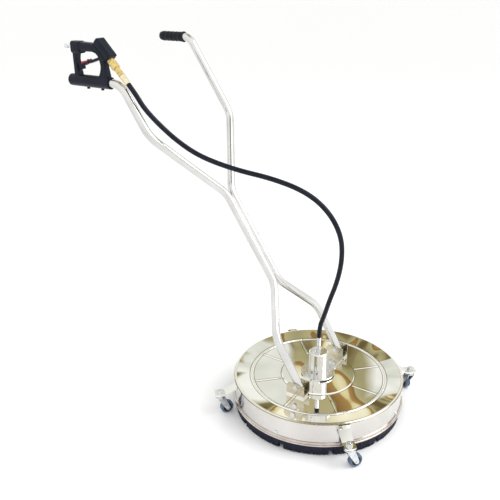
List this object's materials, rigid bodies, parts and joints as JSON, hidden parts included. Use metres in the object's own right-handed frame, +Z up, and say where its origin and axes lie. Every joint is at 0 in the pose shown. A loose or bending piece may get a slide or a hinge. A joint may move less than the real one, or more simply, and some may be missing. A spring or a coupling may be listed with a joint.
{
  "type": "surface cleaner",
  "caption": "Round stainless deck on swivel casters with a brush skirt, a spinning spray arm, a tilting tube handle, a trigger gun and a high-pressure hose.",
  "frame": {"origin": "where the deck's vertical axis meets the floor that the casters stand on", "axes": "+Z up, +Y forwards away from the operator, +X to the operator's right (the trigger gun's side)"},
  "size_m": [0.5352, 1.0436, 1.1124],
  "materials": {
    "polished_steel": "mirror-polished stainless sheet",
    "satin_steel": "satin stainless tube and sheet",
    "turned_steel": "machined steel",
    "zinc": "bright zinc plate",
    "brass": "machined brass",
    "bristle": "dark nylon bristle",
    "gun_plastic": "moulded plastic, fine grain",
    "latch_red": "red moulded plastic",
    "grip_rubber": "ribbed soft rubber",
    "hose_rubber": "smooth hose cover",
    "tyre_rubber": "solid blue-grey tread",
    "seal_rubber": "seal"
  },
  "bodies": {
    "deck": {"deck_cover": "polished_steel", "deck_wall": "satin_steel", "deck_lip": "satin_steel", "brush_holder": "satin_steel", "brush_skirt": "bristle", "handle_strap": "polished_steel", "handle_bracket_right": "polished_steel", "handle_bracket_left": "polished_steel", "hub_bolts": "zinc", "wall_screws": "zinc", "swivel_housing": "turned_steel", "swivel_bearings": "turned_steel", "pressure_seal": "seal_rubber", "retaining_ring": "turned_steel", "inlet_fitting": "zinc", "hose_ferrule_deck": "zinc", "kingpins": "zinc", "pivot_bolts": "zinc", "caster_bracket_front_right": "polished_steel", "caster_bracket_rear_right": "polished_steel", "caster_bracket_front_left": "polished_steel", "caster_bracket_rear_left": "polished_steel"},
    "rotor": {"rotor_shaft": "turned_steel", "rotor_hub": "turned_steel", "spray_arm_a": "satin_steel", "spray_arm_b": "satin_steel", "spray_nozzles": "brass"},
    "handle": {"handle_tube_right": "satin_steel", "handle_tube_left": "satin_steel", "joint_bolt": "zinc", "pivot_spacers": "zinc", "hand_grip": "grip_rubber", "gun_body": "gun_plastic", "gun_cover": "gun_plastic", "gun_screws": "gun_plastic", "gun_inlet": "zinc", "trigger_pin": "turned_steel", "gun_outlet": "brass", "hose_plug": "brass", "hose_ferrule_gun": "zinc", "hose": "hose_rubber"},
    "trigger": {"trigger": "gun_plastic"},
    "latch": {"trigger_latch": "latch_red"},
    "collar": {"coupler_collar": "brass"},
    "caster_front_right": {"caster_fork_front_right": "zinc", "caster_axle_front_right": "zinc"},
    "wheel_front_right": {"wheel_core_front_right": "gun_plastic", "wheel_tyre_front_right": "tyre_rubber"},
    "caster_rear_right": {"caster_fork_rear_right": "zinc", "caster_axle_rear_right": "zinc"},
    "wheel_rear_right": {"wheel_core_rear_right": "gun_plastic", "wheel_tyre_rear_right": "tyre_rubber"},
    "caster_front_left": {"caster_fork_front_left": "zinc", "caster_axle_front_left": "zinc"},
    "wheel_front_left": {"wheel_core_front_left": "gun_plastic", "wheel_tyre_front_left": "tyre_rubber"},
    "caster_rear_left": {"caster_fork_rear_left": "zinc", "caster_axle_rear_left": "zinc"},
    "wheel_rear_left": {"wheel_core_rear_left": "gun_plastic", "wheel_tyre_rear_left": "tyre_rubber"}
  },
  "joints": [
    {"name": "rotor_spin", "type": "hinge", "parent": "deck", "child": "rotor", "pos_m": [0, 0, 0.082], "axis": [0, 0, 1], "continuous": true},
    {"name": "handle_tilt", "type": "hinge", "parent": "deck", "child": "handle", "pos_m": [0, 0.002, 0.138], "axis": [1, 0, 0], "range_deg": [-34, 40], "deforming": ["hose"]},
    {"name": "trigger_squeeze", "type": "hinge", "parent": "handle", "child": "trigger", "pos_m": [0.198, -0.621, 1.06], "axis": [-1, 0, 0], "range_deg": [0, 9], "stiffness_Nm_per_rad": 2, "springref_deg": -17.19},
    {"name": "latch_flip", "type": "hinge", "parent": "trigger", "child": "latch", "pos_m": [0.198, -0.68025, 1.0487], "axis": [-1, 0, 0], "range_deg": [0, 14]},
    {"name": "collar_slide", "type": "slide", "parent": "handle", "child": "collar", "axis": [0, -0.7071, 0.7071], "range_m": [0, 0.004], "stiffness_N_per_m": 2000, "springref_m": -0.003},
    {"name": "caster_swivel_front_right", "type": "hinge", "parent": "deck", "child": "caster_front_right", "pos_m": [0.22203, 0.22203, 0.07], "axis": [0, 0, 1], "continuous": true},
    {"name": "wheel_spin_front_right", "type": "hinge", "parent": "caster_front_right", "child": "wheel_front_right", "pos_m": [0.20403, 0.23285, 0.0205], "axis": [-0.515, -0.8572, 0], "continuous": true},
    {"name": "caster_swivel_rear_right", "type": "hinge", "parent": "deck", "child": "caster_rear_right", "pos_m": [0.22203, -0.22203, 0.07], "axis": [0, 0, 1], "continuous": true},
    {"name": "wheel_spin_rear_right", "type": "hinge", "parent": "caster_rear_right", "child": "wheel_rear_right", "pos_m": [0.20367, -0.21185, 0.0205], "axis": [-0.4848, -0.8746, 0], "continuous": true},
    {"name": "caster_swivel_front_left", "type": "hinge", "parent": "deck", "child": "caster_front_left", "pos_m": [-0.22203, 0.22203, 0.07], "axis": [0, 0, 1], "continuous": true},
    {"name": "wheel_spin_front_left", "type": "hinge", "parent": "caster_front_left", "child": "wheel_front_left", "pos_m": [-0.23378, 0.20462, 0.0205], "axis": [0.829, -0.5592, 0], "continuous": true},
    {"name": "caster_swivel_rear_left", "type": "hinge", "parent": "deck", "child": "caster_rear_left", "pos_m": [-0.22203, -0.22203, 0.07], "axis": [0, 0, 1], "continuous": true},
    {"name": "wheel_spin_rear_left", "type": "hinge", "parent": "caster_rear_left", "child": "wheel_rear_left", "pos_m": [-0.24271, -0.21838, 0.0205], "axis": [-0.1736, -0.9848, 0], "continuous": true}
  ]
}
